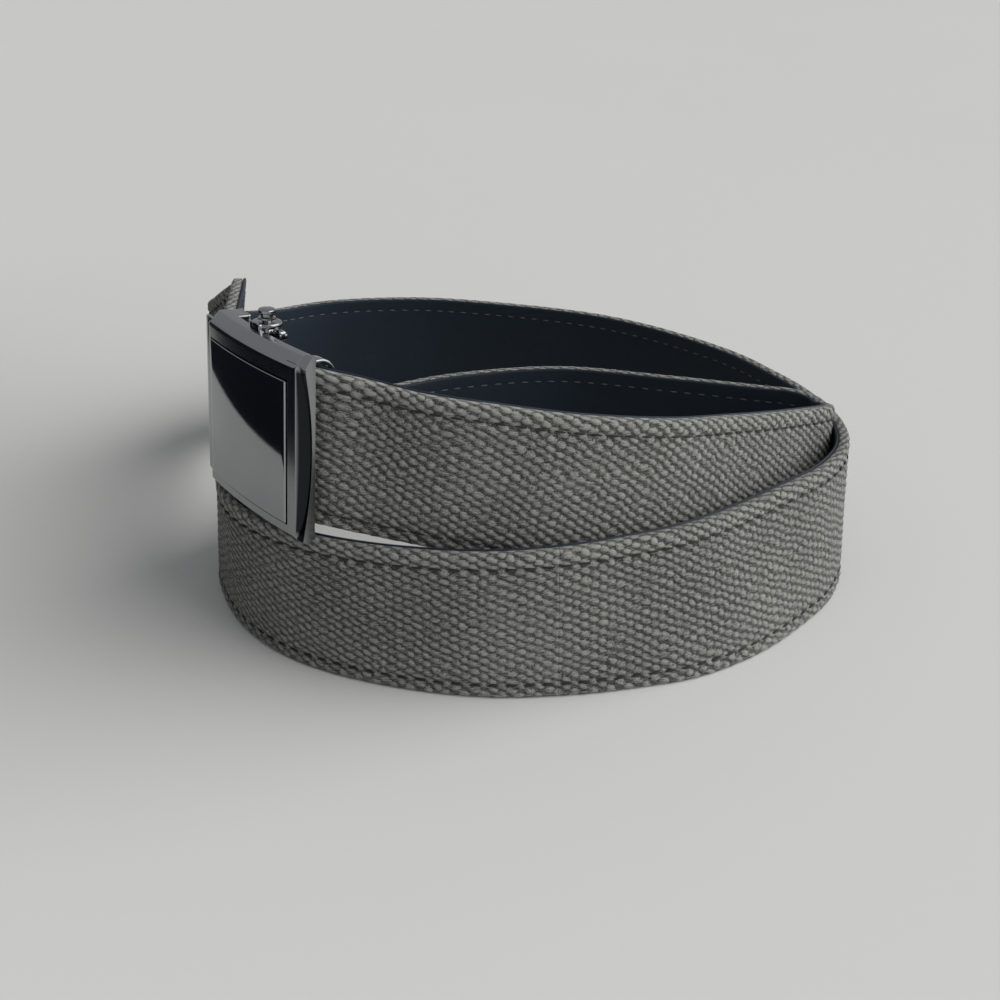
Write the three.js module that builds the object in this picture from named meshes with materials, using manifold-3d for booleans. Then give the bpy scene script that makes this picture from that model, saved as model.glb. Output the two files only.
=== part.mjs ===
// A ratchet belt, fastened and coiled in two turns, standing on the edge of its strap.
// Millimetres, +Z up, +X to the right and +Y away from the viewer.
import * as THREE from 'three';
import { mergeVertices } from 'three/addons/utils/BufferGeometryUtils.js';
import Module from 'manifold-3d';

const wasm = await Module();
wasm.setup();

// Strap
const strapWidth = 35;
const canvasThick = 1.2;
const leatherThick = 1.9;
const pieceGap = 0.3;
const strapStep = 5;
const strapThick = canvasThick + pieceGap + leatherThick;

// Coil, as the plan size of its outer turn
const coilWidth = 172;
const coilDepth = 181;

// Ratchet track on the inner face of the strap's tail
const trackWidth = 6.4;
const trackSeat = 0.45;
const trackBase = 0.5;
const toothHeight = 0.6;
const toothPitch = 5;
const toothCount = 33;
const trackStart = 6;

// Buckle
const buckleLength = 41.6;
const buckleRadius = 150;
const strapRoom = 1.6;
const plateThick = 1.6;
const flangeThick = 1.2;
const flangeDepth = 4.8;
const lipLength = 2.8;
const lipDepth = 3.4;
const lipFlare = 0.5;
const lipDrop = 0.2;
const farLipLength = 2;
const farLipDepth = 0.5;
const farLipInset = 1.5;
const edgeBevel = 2.4;
const endBevelLength = 2.6;
const endBevelDepth = 2.3;
const barThick = 0.8;
const footRise = 0.5;
const barLength = 6;
const guideThick = 1.1;
const guideLength = 3.5;
const guideFromNear = 3.2;
const guideRoom = 0.5;
const guideSlack = 4.2;
const guideReach = 12;
const guideRadius = 4.2;
const pocketDepth = 0.9;
const facePlateThick = 1;
const faceBorder = { far: 1.6, near: 5.4, top: 5.4, bottom: 2.2 };

// Release lever and its pin
const pinRadius = 1;
const pinClearance = 0.1;
const pinHeadRadius = 1.9;
const pinHeadHeight = 1.1;
const pinCollarHeight = 0.6;
const pinNeckRadius = 1.4;
const pinNeckHeight = 1.5;
const earRadius = 3.2;
const earThick = 1.2;
const earLift = 0.4;
const barrelRadius = 1.5;
const pivotFromFar = 17.2;
const pawlReach = 7.5;
const pawlThick = 1.1;
const pawlTipLength = 1.2;
const armThick = 1.4;
const armWidth = 2.4;
const armDrop = 0.6;
const tabFrom = 2.4;
const tabLength = 2.2;
const tabDepth = 1.8;

// The strap's two ends in the buckle
const fixedLength = 12;
const endGap = 3;
const nearSlack = 0.4;
const farSlack = 0.5;

// Place of the buckle's front foot, in shares of the coil, and how it stands
const buckleSpot = { across: -0.3205, back: -0.389 };
const buckleHeading = THREE.MathUtils.degToRad(-52.7);
const buckleLean = 4.1;
const footClearance = 3.5 * pieceGap;
const turn = THREE.MathUtils.degToRad;
const cornerSteps = 4;
const curveStep = 5;

// Depths in the buckle, measured inward from its front face
const strapDepth = plateThick + 2 * pieceGap;
const barDepth = strapDepth + strapThick + farSlack + 3 * pieceGap;
const trackRoom = trackSeat + trackBase + toothHeight + pieceGap;
const pawlDepth = strapDepth + strapThick + trackRoom;
const pivotDepth = flangeDepth + pieceGap + barrelRadius;
const guideDepth = strapDepth + strapThick + guideSlack + guideThick;

// Heights in the buckle, measured up from its foot
const strapSeat = flangeThick + pieceGap;
const strapTop = strapSeat + strapWidth;
const buckleHeight = strapTop + strapRoom + strapSeat;
const guideTop = strapTop + guideRoom + guideThick;

// The strap's way round the coil, from the buckle's near end to its far end.
// across and back are shares of the coil, lift is a share of the strap's width,
// and lean tips the strap's top towards the middle of the coil, in degrees.
const route = [
  { across: -0.2275, back: -0.441, lift: 1.055, lean: 0 },
  { across: -0.148, back: -0.449, lift: 0.98, lean: -3 },
  { across: -0.043, back: -0.459, lift: 0.895, lean: -2 },
  { across: 0.081, back: -0.448, lift: 0.77, lean: 0 },
  { across: 0.203, back: -0.403, lift: 0.625, lean: 3 },
  { across: 0.314, back: -0.323, lift: 0.465, lean: 6 },
  { across: 0.416, back: -0.227, lift: 0.3, lean: 6 },
  { across: 0.478, back: -0.141, lift: 0.175, lean: 1.5 },
  { across: 0.484, back: -0.083, lift: 0.135, lean: 0 },
  { across: 0.464, back: -0.030, lift: 0.115, lean: 0 },
  { across: 0.410, back: 0.008, lift: 0.09, lean: 0 },
  { across: 0.279, back: 0.064, lift: 0.06, lean: 0 },
  { across: 0.099, back: 0.124, lift: 0.03, lean: 0 },
  { across: -0.070, back: 0.105, lift: 0.01, lean: 0 },
  { across: -0.198, back: 0.047, lift: 0, lean: 0 },
  { across: -0.308, back: -0.008, lift: 0, lean: 0 },
  { across: -0.384, back: -0.066, lift: 0, lean: 3 },
  { across: -0.416, back: -0.152, lift: 0, lean: 5 },
  { across: -0.400, back: -0.240, lift: 0, lean: 2 },
  { across: -0.347, back: -0.341, lift: 0, lean: -4 },
  { across: -0.264, back: -0.420, lift: 0, lean: -4.5 },
  { across: -0.159, back: -0.469, lift: 0, lean: -3 },
  { across: -0.035, back: -0.498, lift: 0, lean: 0 },
  { across: 0.076, back: -0.496, lift: 0, lean: 3 },
  { across: 0.174, back: -0.479, lift: 0, lean: 8 },
  { across: 0.260, back: -0.454, lift: 0, lean: 13 },
  { across: 0.347, back: -0.400, lift: 0, lean: 15 },
  { across: 0.419, back: -0.329, lift: 0, lean: 12 },
  { across: 0.474, back: -0.257, lift: 0, lean: 7 },
  { across: 0.506, back: -0.169, lift: 0, lean: 2 },
  { across: 0.509, back: -0.069, lift: 0, lean: 0 },
  { across: 0.485, back: 0.036, lift: 0, lean: 0 },
  { across: 0.445, back: 0.124, lift: 0, lean: 0 },
  { across: 0.389, back: 0.218, lift: 0, lean: 0 },
  { across: 0.284, back: 0.329, lift: 0, lean: 0 },
  { across: 0.168, back: 0.409, lift: 0, lean: 0 },
  { across: 0.000, back: 0.470, lift: 0, lean: 0 },
  { across: -0.160, back: 0.500, lift: 0, lean: 0 },
  { across: -0.319, back: 0.481, lift: 0, lean: 0 },
  { across: -0.430, back: 0.412, lift: 0.015, lean: 0 },
  { across: -0.483, back: 0.312, lift: 0.13, lean: 0 },
  { across: -0.484, back: 0.207, lift: 0.36, lean: 0 },
  { across: -0.457, back: 0.097, lift: 0.6, lean: 3 },
  { across: -0.428, back: -0.003, lift: 0.86, lean: 8 },
  { across: -0.410, back: -0.086, lift: 1.012, lean: 8 },
];

// A closed body from rings of the same number of points, with flat ends
function loft(rings) {
  const count = rings[0].length;
  const positions = rings.flat().flatMap((p) => [p.x, p.y, p.z]);
  const index = [];
  for (let r = 0; r < rings.length - 1; r++) {
    for (let k = 0; k < count; k++) {
      const a = r * count + k;
      const b = r * count + ((k + 1) % count);
      if (k < count / 2) index.push(a, b, b + count, a, b + count, a + count);
      else index.push(a, b, a + count, b, b + count, a + count);
    }
  }
  const last = (rings.length - 1) * count;
  for (let k = 1; k < count - 1; k++) {
    index.push(0, k + 1, k);
    index.push(last, last + k, last + k + 1);
  }
  const geometry = new THREE.BufferGeometry();
  geometry.setAttribute('position', new THREE.Float32BufferAttribute(positions, 3));
  geometry.setIndex(index);
  return outward(geometry);
}

// Turns a closed geometry's faces outward
function outward(geometry) {
  const p = geometry.attributes.position;
  const index = geometry.index.array;
  const [a, b, c] = [new THREE.Vector3(), new THREE.Vector3(), new THREE.Vector3()];
  let volume = 0;
  for (let i = 0; i < index.length; i += 3) {
    a.fromBufferAttribute(p, index[i]);
    b.fromBufferAttribute(p, index[i + 1]);
    c.fromBufferAttribute(p, index[i + 2]);
    volume += a.dot(b.cross(c));
  }
  if (volume < 0) {
    for (let i = 0; i < index.length; i += 3) {
      [index[i + 1], index[i + 2]] = [index[i + 2], index[i + 1]];
    }
  }
  return geometry;
}

function solid(geometry) {
  const bare = geometry.clone();
  bare.deleteAttribute('normal');
  bare.deleteAttribute('uv');
  const merged = mergeVertices(bare, 1e-4);
  return new wasm.Manifold(new wasm.Mesh({
    numProp: 3,
    vertProperties: new Float32Array(merged.attributes.position.array),
    triVerts: new Uint32Array(merged.index.array),
  }));
}

function geometryOf(body) {
  const mesh = body.getMesh();
  const geometry = new THREE.BufferGeometry();
  geometry.setAttribute('position', new THREE.BufferAttribute(mesh.vertProperties, 3));
  geometry.setIndex(new THREE.BufferAttribute(mesh.triVerts, 1));
  return geometry;
}

function combine(start, added, removed = []) {
  let body = solid(start);
  for (const piece of added) body = body.add(solid(piece));
  for (const piece of removed) body = body.subtract(solid(piece));
  return geometryOf(body);
}

function mesh(name, geometry, colour, roughness, metalness) {
  const material = new THREE.MeshStandardMaterial({ color: colour, roughness, metalness });
  const result = new THREE.Mesh(geometry, material);
  result.name = name;
  return result;
}

// Buckle coordinates: along runs from the middle to the near end, inward from the front
// face towards the coil, and up from the foot. The plan is an arc of the buckle's radius.
function inBuckle(along, inward, up) {
  const radius = buckleRadius - inward;
  const angle = along / buckleRadius;
  return new THREE.Vector3(radius * Math.sin(angle), buckleRadius - radius * Math.cos(angle), up);
}

// A block of the buckle that follows its curve, swept upward
function curvedBlock(alongFrom, alongTo, inwardFrom, inwardTo, low, high) {
  const steps = Math.max(2, Math.ceil((alongTo - alongFrom) / curveStep));
  const outline = [];
  for (let i = 0; i <= steps; i++) {
    outline.push(inBuckle(alongFrom + (alongTo - alongFrom) * i / steps, inwardFrom, 0));
  }
  for (let i = steps; i >= 0; i--) {
    outline.push(inBuckle(alongFrom + (alongTo - alongFrom) * i / steps, inwardTo, 0));
  }
  const shape = new THREE.Shape(outline.map((p) => new THREE.Vector2(p.x, p.y)));
  const block = new THREE.ExtrudeGeometry(shape, { depth: high - low, bevelEnabled: false });
  return block.translate(0, 0, low);
}

const nearEnd = buckleLength / 2;
const farEnd = -buckleLength / 2;

// The frame: front plate, flanges, lips at both ends, clamping bar, strap guide and ear
function buckleFrame() {
  const top = buckleHeight;
  const plate = curvedBlock(farEnd, nearEnd, 0, plateThick, 0, top);
  const flangeEnd = nearEnd - lipLength / 2;
  const topFlange = curvedBlock(farEnd, flangeEnd, 0, flangeDepth, top - flangeThick, top);
  const bottomFlange = curvedBlock(farEnd, flangeEnd, 0, flangeDepth, 0, flangeThick);
  const lip = curvedBlock(nearEnd - lipLength, nearEnd, 0, lipDepth, -lipDrop, top + lipFlare);
  const bar = curvedBlock(farEnd, farEnd + barLength, barDepth, barDepth + barThick,
    footRise, top);
  const barFoot = curvedBlock(farEnd, farEnd + barLength, plateThick / 2, barDepth + barThick,
    footRise, flangeThick);
  const barHead = curvedBlock(farEnd, farEnd + barLength, 0, barDepth + barThick,
    top - flangeThick, top);
  const farLip = curvedBlock(farEnd - farLipLength, farEnd + plateThick, farLipDepth,
    plateThick, farLipInset, top - farLipInset);
  const parts = [topFlange, bottomFlange, lip, bar, barFoot, barHead, strapGuide(), farLip];
  parts.push(earRoot(), pivotEar());
  return combine(plate, parts, [facePocket(0), endBevel(), topBevel()]);
}

const pivotAlong = farEnd + pivotFromFar;
const earLow = buckleHeight + earLift;
const earHigh = earLow + earThick;

// The block on the top flange that carries the ear
function earRoot() {
  return curvedBlock(pivotAlong - earRadius * 0.9, pivotAlong + earRadius * 0.9,
    plateThick / 2 + edgeBevel / 2, flangeDepth, buckleHeight - flangeThick, earHigh);
}

// A flat ear that carries the pin, rounded about it
function pivotEar() {
  const pivot = inBuckle(pivotAlong, pivotDepth, 0);
  const a = inBuckle(pivotAlong - earRadius * 0.9, flangeDepth - 1, 0);
  const b = inBuckle(pivotAlong + earRadius * 0.9, flangeDepth - 1, 0);
  const shape = new THREE.Shape();
  shape.moveTo(a.x, a.y);
  shape.lineTo(b.x, b.y);
  shape.absarc(pivot.x, pivot.y, earRadius, 0, Math.PI, false);
  const hole = new THREE.Path();
  hole.absarc(pivot.x, pivot.y, pinRadius + pinClearance, 0, 2 * Math.PI, true);
  shape.holes.push(hole);
  const sweep = { depth: earThick, bevelEnabled: false, curveSegments: 12 };
  return new THREE.ExtrudeGeometry(shape, sweep).translate(0, 0, earLow);
}

// A hook over the strap at the near end: a bar across its top edge, turned down behind it
function strapGuide() {
  const alongTo = nearEnd - guideFromNear;
  const alongFrom = alongTo - guideLength;
  const inner = guideRadius - guideThick;
  const corner = (radius) => Array.from({ length: cornerSteps + 1 }, (unused, i) => {
    const angle = (Math.PI / 2) * i / cornerSteps;
    return [guideDepth - guideRadius + radius * Math.cos(angle),
      guideTop - guideRadius + radius * Math.sin(angle)];
  });
  const outerWay = [[guideDepth, guideTop - guideReach], ...corner(guideRadius),
    [plateThick / 2, guideTop]];
  const innerWay = [[guideDepth - guideThick, guideTop - guideReach], ...corner(inner),
    [plateThick / 2, guideTop - guideThick]];
  return loft(outerWay.map((unused, i) => [[alongFrom, outerWay], [alongTo, outerWay],
    [alongTo, innerWay], [alongFrom, innerWay]]
    .map(([along, way]) => inBuckle(along, way[i][0], way[i][1]))));
}

// The shallow pocket in the front plate that takes the face plate
function facePocket(inset) {
  return curvedBlock(farEnd + faceBorder.far + inset, nearEnd - faceBorder.near - inset, -1,
    pocketDepth, faceBorder.bottom + inset, buckleHeight - faceBorder.top - inset);
}

// The near end's bow-shaped bevel: straight on the face, widest at half height on the end
function endBevel() {
  const rings = [];
  const steps = 10;
  const low = -lipFlare - 1;
  const high = buckleHeight + lipFlare + 1;
  for (let i = 0; i <= steps; i++) {
    const up = low + (high - low) * i / steps;
    const share = 1 - (2 * i / steps - 1) ** 2;
    const depth = 0.2 + endBevelDepth * share;
    const corners = [[nearEnd - endBevelLength, -1], [nearEnd + 1, -1],
      [nearEnd + 1, depth], [nearEnd, depth], [nearEnd - endBevelLength, 0]];
    rings.push(corners.map(([along, inward]) => inBuckle(along, inward, up)));
  }
  return loft(rings);
}

// The sloping band along the front plate's top edge
function topBevel() {
  const rings = [];
  const steps = 9;
  const end = nearEnd - endBevelLength;
  for (let i = 0; i <= steps; i++) {
    const along = farEnd - 1 + (end - farEnd + 1) * i / steps;
    rings.push([
      inBuckle(along, -1, buckleHeight - edgeBevel),
      inBuckle(along, 0, buckleHeight - edgeBevel),
      inBuckle(along, edgeBevel, buckleHeight),
      inBuckle(along, edgeBevel, buckleHeight + 1),
      inBuckle(along, -1, buckleHeight + 1),
    ]);
  }
  return loft(rings);
}

// The polished plate set in the pocket, a little proud of the frame
function facePlate() {
  return curvedBlock(farEnd + faceBorder.far + pieceGap, nearEnd - faceBorder.near - pieceGap,
    pocketDepth - pieceGap - facePlateThick, pocketDepth - pieceGap,
    faceBorder.bottom + pieceGap, buckleHeight - faceBorder.top - pieceGap);
}

function uprightCylinder(radius, low, high, segments = 20) {
  const cylinder = new THREE.CylinderGeometry(radius, radius, high - low, segments);
  const pivot = inBuckle(pivotAlong, pivotDepth, 0);
  return cylinder.rotateX(Math.PI / 2).translate(pivot.x, pivot.y, (low + high) / 2);
}

// The pin hangs from the ear, with a collar and a head on top
function pivotPin() {
  const collarLow = earHigh + pieceGap;
  const headLow = collarLow + pinNeckHeight;
  const shank = uprightCylinder(pinRadius, leverLow, headLow);
  const collar = uprightCylinder(pinHeadRadius, collarLow, collarLow + pinCollarHeight);
  const neck = uprightCylinder(pinNeckRadius, collarLow, headLow + pinHeadHeight / 2);
  const head = uprightCylinder(pinHeadRadius, headLow, headLow + pinHeadHeight);
  return combine(shank, [collar, neck, head]);
}

const leverLow = strapTop + 3 * pieceGap;
const leverHigh = earLow - pieceGap;

// The lever: a barrel on the pin above the strap, an arm over the strap's edge with a
// finger tab, and a pawl behind the strap that meets the track
function releaseLever() {
  const barrel = uprightCylinder(barrelRadius, leverLow, leverHigh);
  const bore = uprightCylinder(pinRadius + pinClearance, leverLow - 1, leverHigh + 1);
  const armHigh = leverHigh - armDrop;
  const armLow = armHigh - armThick;
  const back = pawlDepth + toothHeight + pawlThick;
  const from = pivotAlong - armWidth / 2;
  const arm = curvedBlock(from, pivotAlong + armWidth / 2, pivotDepth, back, armLow, armHigh);
  const tabFace = pivotDepth + barrelRadius - pinRadius + pinClearance;
  const crossArm = curvedBlock(from, pivotAlong + tabFrom + tabLength, tabFace, back,
    armLow, armHigh);
  const tab = curvedBlock(pivotAlong + tabFrom, pivotAlong + tabFrom + tabLength, tabFace,
    tabFace + tabDepth, leverLow + earLift, leverHigh);
  const middle = strapSeat + strapWidth / 2;
  const plate = curvedBlock(from, pivotAlong + armWidth / 2, back - pawlThick, back,
    middle - trackWidth / 2, armHigh);
  const pawl = curvedBlock(from, pivotAlong + pawlReach, back - pawlThick, back,
    middle - trackWidth / 2, middle + trackWidth / 2);
  const tip = curvedBlock(pivotAlong + pawlReach - pawlTipLength, pivotAlong + pawlReach,
    pawlDepth, back, middle - trackWidth / 2, middle + trackWidth / 2);
  return combine(barrel, [arm, crossArm, tab, plate, pawl, tip], [bore]);
}

const buckle = new THREE.Group();
buckle.add(
  mesh('buckle_frame', buckleFrame(), 0x54575b, 0.22, 1),
  mesh('face_plate', facePlate(), 0x3c3f45, 0.08, 1),
  mesh('release_lever', releaseLever(), 0x4b4e52, 0.3, 1),
  mesh('pivot_pin', pivotPin(), 0x5b5e61, 0.25, 1),
);
const buckleTilt = new THREE.Group();
buckleTilt.add(buckle);
buckleTilt.rotation.x = -turn(buckleLean);
const buckleStand = new THREE.Group();
buckleStand.add(buckleTilt);
buckleStand.rotation.z = buckleHeading;
buckleStand.position.set(buckleSpot.across * coilWidth, buckleSpot.back * coilDepth,
  strapWidth + footClearance);
buckleStand.updateMatrixWorld(true);

// One row of the strap's way where it runs inside the buckle
function rowInBuckle(along, inward) {
  const p = inBuckle(along, inward, strapSeat).applyMatrix4(buckle.matrixWorld);
  return [p.x, p.y, p.z, buckleLean];
}

// All rows of the strap: the tail in the buckle, the coil and the fixed end that the
// buckle clamps
function strapRows() {
  const tailEnd = farEnd + fixedLength + endGap;
  const rows = [
    rowInBuckle(tailEnd, strapDepth),
    rowInBuckle(0, strapDepth),
    rowInBuckle(nearEnd * 0.4, strapDepth + nearSlack),
  ];
  for (const { across, back, lift, lean } of route) {
    rows.push([across * coilWidth, back * coilDepth, lift * strapWidth, lean]);
  }
  rows.push(
    rowInBuckle(farEnd, strapDepth + farSlack),
    rowInBuckle(farEnd + fixedLength / 2, strapDepth + 0.1),
    rowInBuckle(farEnd + fixedLength, strapDepth),
  );
  return rows;
}

// A smooth way through rows of numbers
function between(p0, p1, p2, p3, t) {
  return p1.map((b, i) => {
    const [a, c, d] = [p0[i], p2[i], p3[i]];
    return 0.5 * (2 * b + (c - a) * t + (2 * a - 5 * b + 4 * c - d) * t * t
      + (3 * b - a - 3 * c + d) * t * t * t);
  });
}

function beyond(p, q) {
  return p.map((value, i) => 2 * value - q[i]);
}

// Stations at even steps along the strap's outer bottom edge, each with its place,
// its direction up the strap's face and its direction outward
function strapStations(rows, step) {
  const dense = [];
  for (let i = 0; i < rows.length - 1; i++) {
    const before = rows[i - 1] ?? beyond(rows[i], rows[i + 1]);
    const after = rows[i + 2] ?? beyond(rows[i + 1], rows[i]);
    for (let k = 0; k < 20; k++) dense.push(between(before, rows[i], rows[i + 1], after, k / 20));
  }
  dense.push(rows[rows.length - 1]);
  const travelled = [0];
  for (let i = 1; i < dense.length; i++) {
    const [dx, dy, dz] = [0, 1, 2].map((j) => dense[i][j] - dense[i - 1][j]);
    travelled.push(travelled[i - 1] + Math.hypot(dx, dy, dz));
  }
  const length = travelled[travelled.length - 1];
  const count = Math.round(length / step);
  const at = (distance) => {
    const d = Math.min(Math.max(distance, 0), length);
    let i = travelled.findIndex((value) => value >= d);
    i = Math.max(i, 1);
    const share = (d - travelled[i - 1]) / (travelled[i] - travelled[i - 1]);
    return dense[i].map((value, j) => dense[i - 1][j] + (value - dense[i - 1][j]) * share);
  };
  return { length, count, station: (distance) => stationAt(at, distance, length) };
}

function stationAt(at, distance, length) {
  const place = at(distance);
  const a = at(Math.max(distance - 1, 0));
  const b = at(Math.min(distance + 1, length));
  const run = Math.hypot(b[0] - a[0], b[1] - a[1]);
  const heading = new THREE.Vector3((b[0] - a[0]) / run, (b[1] - a[1]) / run, 0);
  const out = new THREE.Vector3(heading.y, -heading.x, 0);
  const slope = Math.atan2(b[2] - a[2], run);
  const lean = turn(place[3]);
  const up = new THREE.Vector3(0, 0, Math.cos(slope) * Math.cos(lean))
    .addScaledVector(heading, -Math.sin(slope) * Math.cos(lean))
    .addScaledVector(out, -Math.sin(lean));
  return { foot: new THREE.Vector3(place[0], place[1], place[2]), up, out };
}

const strap = strapStations(strapRows(), strapStep);

// The four corners of a layer of the strap at one station
function layerRing({ foot, up, out }, depthFrom, depthTo, low = 0, high = strapWidth) {
  return [[depthFrom, low], [depthTo, low], [depthTo, high], [depthFrom, high]]
    .map(([depth, height]) => foot.clone().addScaledVector(out, -depth).addScaledVector(up, height));
}

function strapLayer(depthFrom, depthTo) {
  const rings = [];
  for (let i = 0; i <= strap.count; i++) {
    rings.push(layerRing(strap.station(strap.length * i / strap.count), depthFrom, depthTo));
  }
  return loft(rings);
}

// The toothed track: each tooth rises steeply and falls slowly along the tail
function ratchetTrack() {
  const rings = [];
  const low = (strapWidth - trackWidth) / 2;
  const high = low + trackWidth;
  const depth = strapThick + trackSeat;
  for (let i = 0; i < toothCount; i++) {
    const start = trackStart + i * toothPitch;
    for (const [shift, rise] of [[0, toothHeight], [toothPitch * 0.92, 0]]) {
      rings.push(layerRing(strap.station(start + shift), depth, depth + trackBase + rise, low, high));
    }
  }
  return loft(rings);
}

const belt = new THREE.Group();
belt.add(
  mesh('strap_canvas', strapLayer(0, canvasThick), 0x7a7d78, 0.95, 0),
  mesh('strap_leather', strapLayer(canvasThick + pieceGap, strapThick), 0x1d2430, 0.5, 0),
  mesh('ratchet_track', ratchetTrack(), 0x17191c, 0.45, 0),
  buckleStand,
);

// The origin is on the floor, under the middle of the whole belt
const box = new THREE.Box3().setFromObject(belt, true);
belt.position.set(-(box.min.x + box.max.x) / 2, -(box.min.y + box.max.y) / 2, -box.min.z);

const group = new THREE.Group();
group.add(belt);
export default group;
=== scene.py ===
import bisect
import math

import bmesh
import bpy
from mathutils import Matrix, Vector, noise


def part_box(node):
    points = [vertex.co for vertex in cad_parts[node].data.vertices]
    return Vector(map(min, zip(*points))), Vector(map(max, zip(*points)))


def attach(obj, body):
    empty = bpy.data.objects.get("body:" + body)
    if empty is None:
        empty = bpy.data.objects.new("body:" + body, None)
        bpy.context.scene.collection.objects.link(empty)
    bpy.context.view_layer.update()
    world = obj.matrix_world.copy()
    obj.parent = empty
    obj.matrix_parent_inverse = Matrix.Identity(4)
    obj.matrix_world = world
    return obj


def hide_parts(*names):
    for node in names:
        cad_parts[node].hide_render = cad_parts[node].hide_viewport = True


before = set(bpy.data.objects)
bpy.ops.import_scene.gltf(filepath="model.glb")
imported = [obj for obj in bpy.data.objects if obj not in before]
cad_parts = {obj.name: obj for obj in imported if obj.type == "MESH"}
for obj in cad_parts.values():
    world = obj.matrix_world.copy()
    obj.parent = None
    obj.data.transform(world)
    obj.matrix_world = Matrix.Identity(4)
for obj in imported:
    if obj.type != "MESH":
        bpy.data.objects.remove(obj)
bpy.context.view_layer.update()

scene = bpy.context.scene
mm = 0.001

# where the strap and the buckle are, in millimetres

strap = {"width": 35.0, "canvas": 1.2, "gap": 0.3, "leather": 1.9, "step": 5.0, "fold": 2.4,
         "edge": 0.75, "leatherEdge": 0.55}
coil = {"width": 172.0, "depth": 181.0}
buckle = {"length": 41.6, "height": 39.6, "radius": 150.0, "plate": 1.6, "flange": 1.2,
          "heading": -52.7, "lean": 4.1, "across": -0.3205, "back": -0.389, "fixedEnd": 12.0, "endGap": 3.0}
strap["thick"] = strap["canvas"] + strap["gap"] + strap["leather"]
buckle["strapDepth"] = buckle["plate"] + 2 * strap["gap"]
buckle["strapSeat"] = buckle["flange"] + strap["gap"]
nearEnd = buckle["length"] / 2
farEnd = -nearEnd

# across and back are shares of the coil, lift a share of the strap's width, lean in degrees
route = [
    (-0.2275, -0.441, 1.055, 0), (-0.148, -0.449, 0.98, -3), (-0.043, -0.459, 0.895, -2),
    (0.081, -0.448, 0.77, 0), (0.203, -0.403, 0.625, 3), (0.314, -0.323, 0.465, 6),
    (0.416, -0.227, 0.3, 6), (0.478, -0.141, 0.175, 1.5), (0.484, -0.083, 0.135, 0),
    (0.464, -0.030, 0.115, 0), (0.410, 0.008, 0.09, 0), (0.279, 0.064, 0.06, 0),
    (0.099, 0.124, 0.03, 0), (-0.070, 0.105, 0.01, 0), (-0.198, 0.047, 0, 0),
    (-0.308, -0.008, 0, 0), (-0.384, -0.066, 0, 3), (-0.416, -0.152, 0, 5),
    (-0.400, -0.240, 0, 2), (-0.347, -0.341, 0, -4), (-0.264, -0.420, 0, -4.5),
    (-0.159, -0.469, 0, -3), (-0.035, -0.498, 0, 0), (0.076, -0.496, 0, 3),
    (0.174, -0.479, 0, 8), (0.260, -0.454, 0, 13), (0.347, -0.400, 0, 15),
    (0.419, -0.329, 0, 12), (0.474, -0.257, 0, 7), (0.506, -0.169, 0, 2),
    (0.509, -0.069, 0, 0), (0.485, 0.036, 0, 0), (0.445, 0.124, 0, 0),
    (0.389, 0.218, 0, 0), (0.284, 0.329, 0, 0), (0.168, 0.409, 0, 0),
    (0.000, 0.470, 0, 0), (-0.160, 0.500, 0, 0), (-0.319, 0.481, 0, 0),
    (-0.430, 0.412, 0.015, 0), (-0.483, 0.312, 0.13, 0), (-0.484, 0.207, 0.36, 0),
    (-0.457, 0.097, 0.6, 3), (-0.428, -0.003, 0.86, 8), (-0.410, -0.086, 1.012, 8),
]


def inBuckle(along, inward, up):
    radius = buckle["radius"] - inward
    angle = along / buckle["radius"]
    return Vector((radius * math.sin(angle), buckle["radius"] - radius * math.cos(angle), up))


buckleStand = (Matrix.Translation((buckle["across"] * coil["width"], buckle["back"] * coil["depth"],
                                   strap["width"] + 3.5 * strap["gap"]))
               @ Matrix.Rotation(math.radians(buckle["heading"]), 4, "Z")
               @ Matrix.Rotation(-math.radians(buckle["lean"]), 4, "X"))


def rowInBuckle(along, inward):
    p = buckleStand @ inBuckle(along, inward, buckle["strapSeat"])
    return (p.x, p.y, p.z, buckle["lean"])


def strapRows():
    depth = buckle["strapDepth"]
    rows = [rowInBuckle(farEnd + buckle["fixedEnd"] + buckle["endGap"], depth), rowInBuckle(0, depth),
            rowInBuckle(nearEnd * 0.4, depth + 0.4)]
    rows += [(across * coil["width"], back * coil["depth"], lift * strap["width"], lean)
             for across, back, lift, lean in route]
    rows += [rowInBuckle(farEnd, depth + 0.5), rowInBuckle(farEnd + buckle["fixedEnd"] / 2, depth + 0.1),
             rowInBuckle(farEnd + buckle["fixedEnd"], depth)]
    return rows


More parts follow.
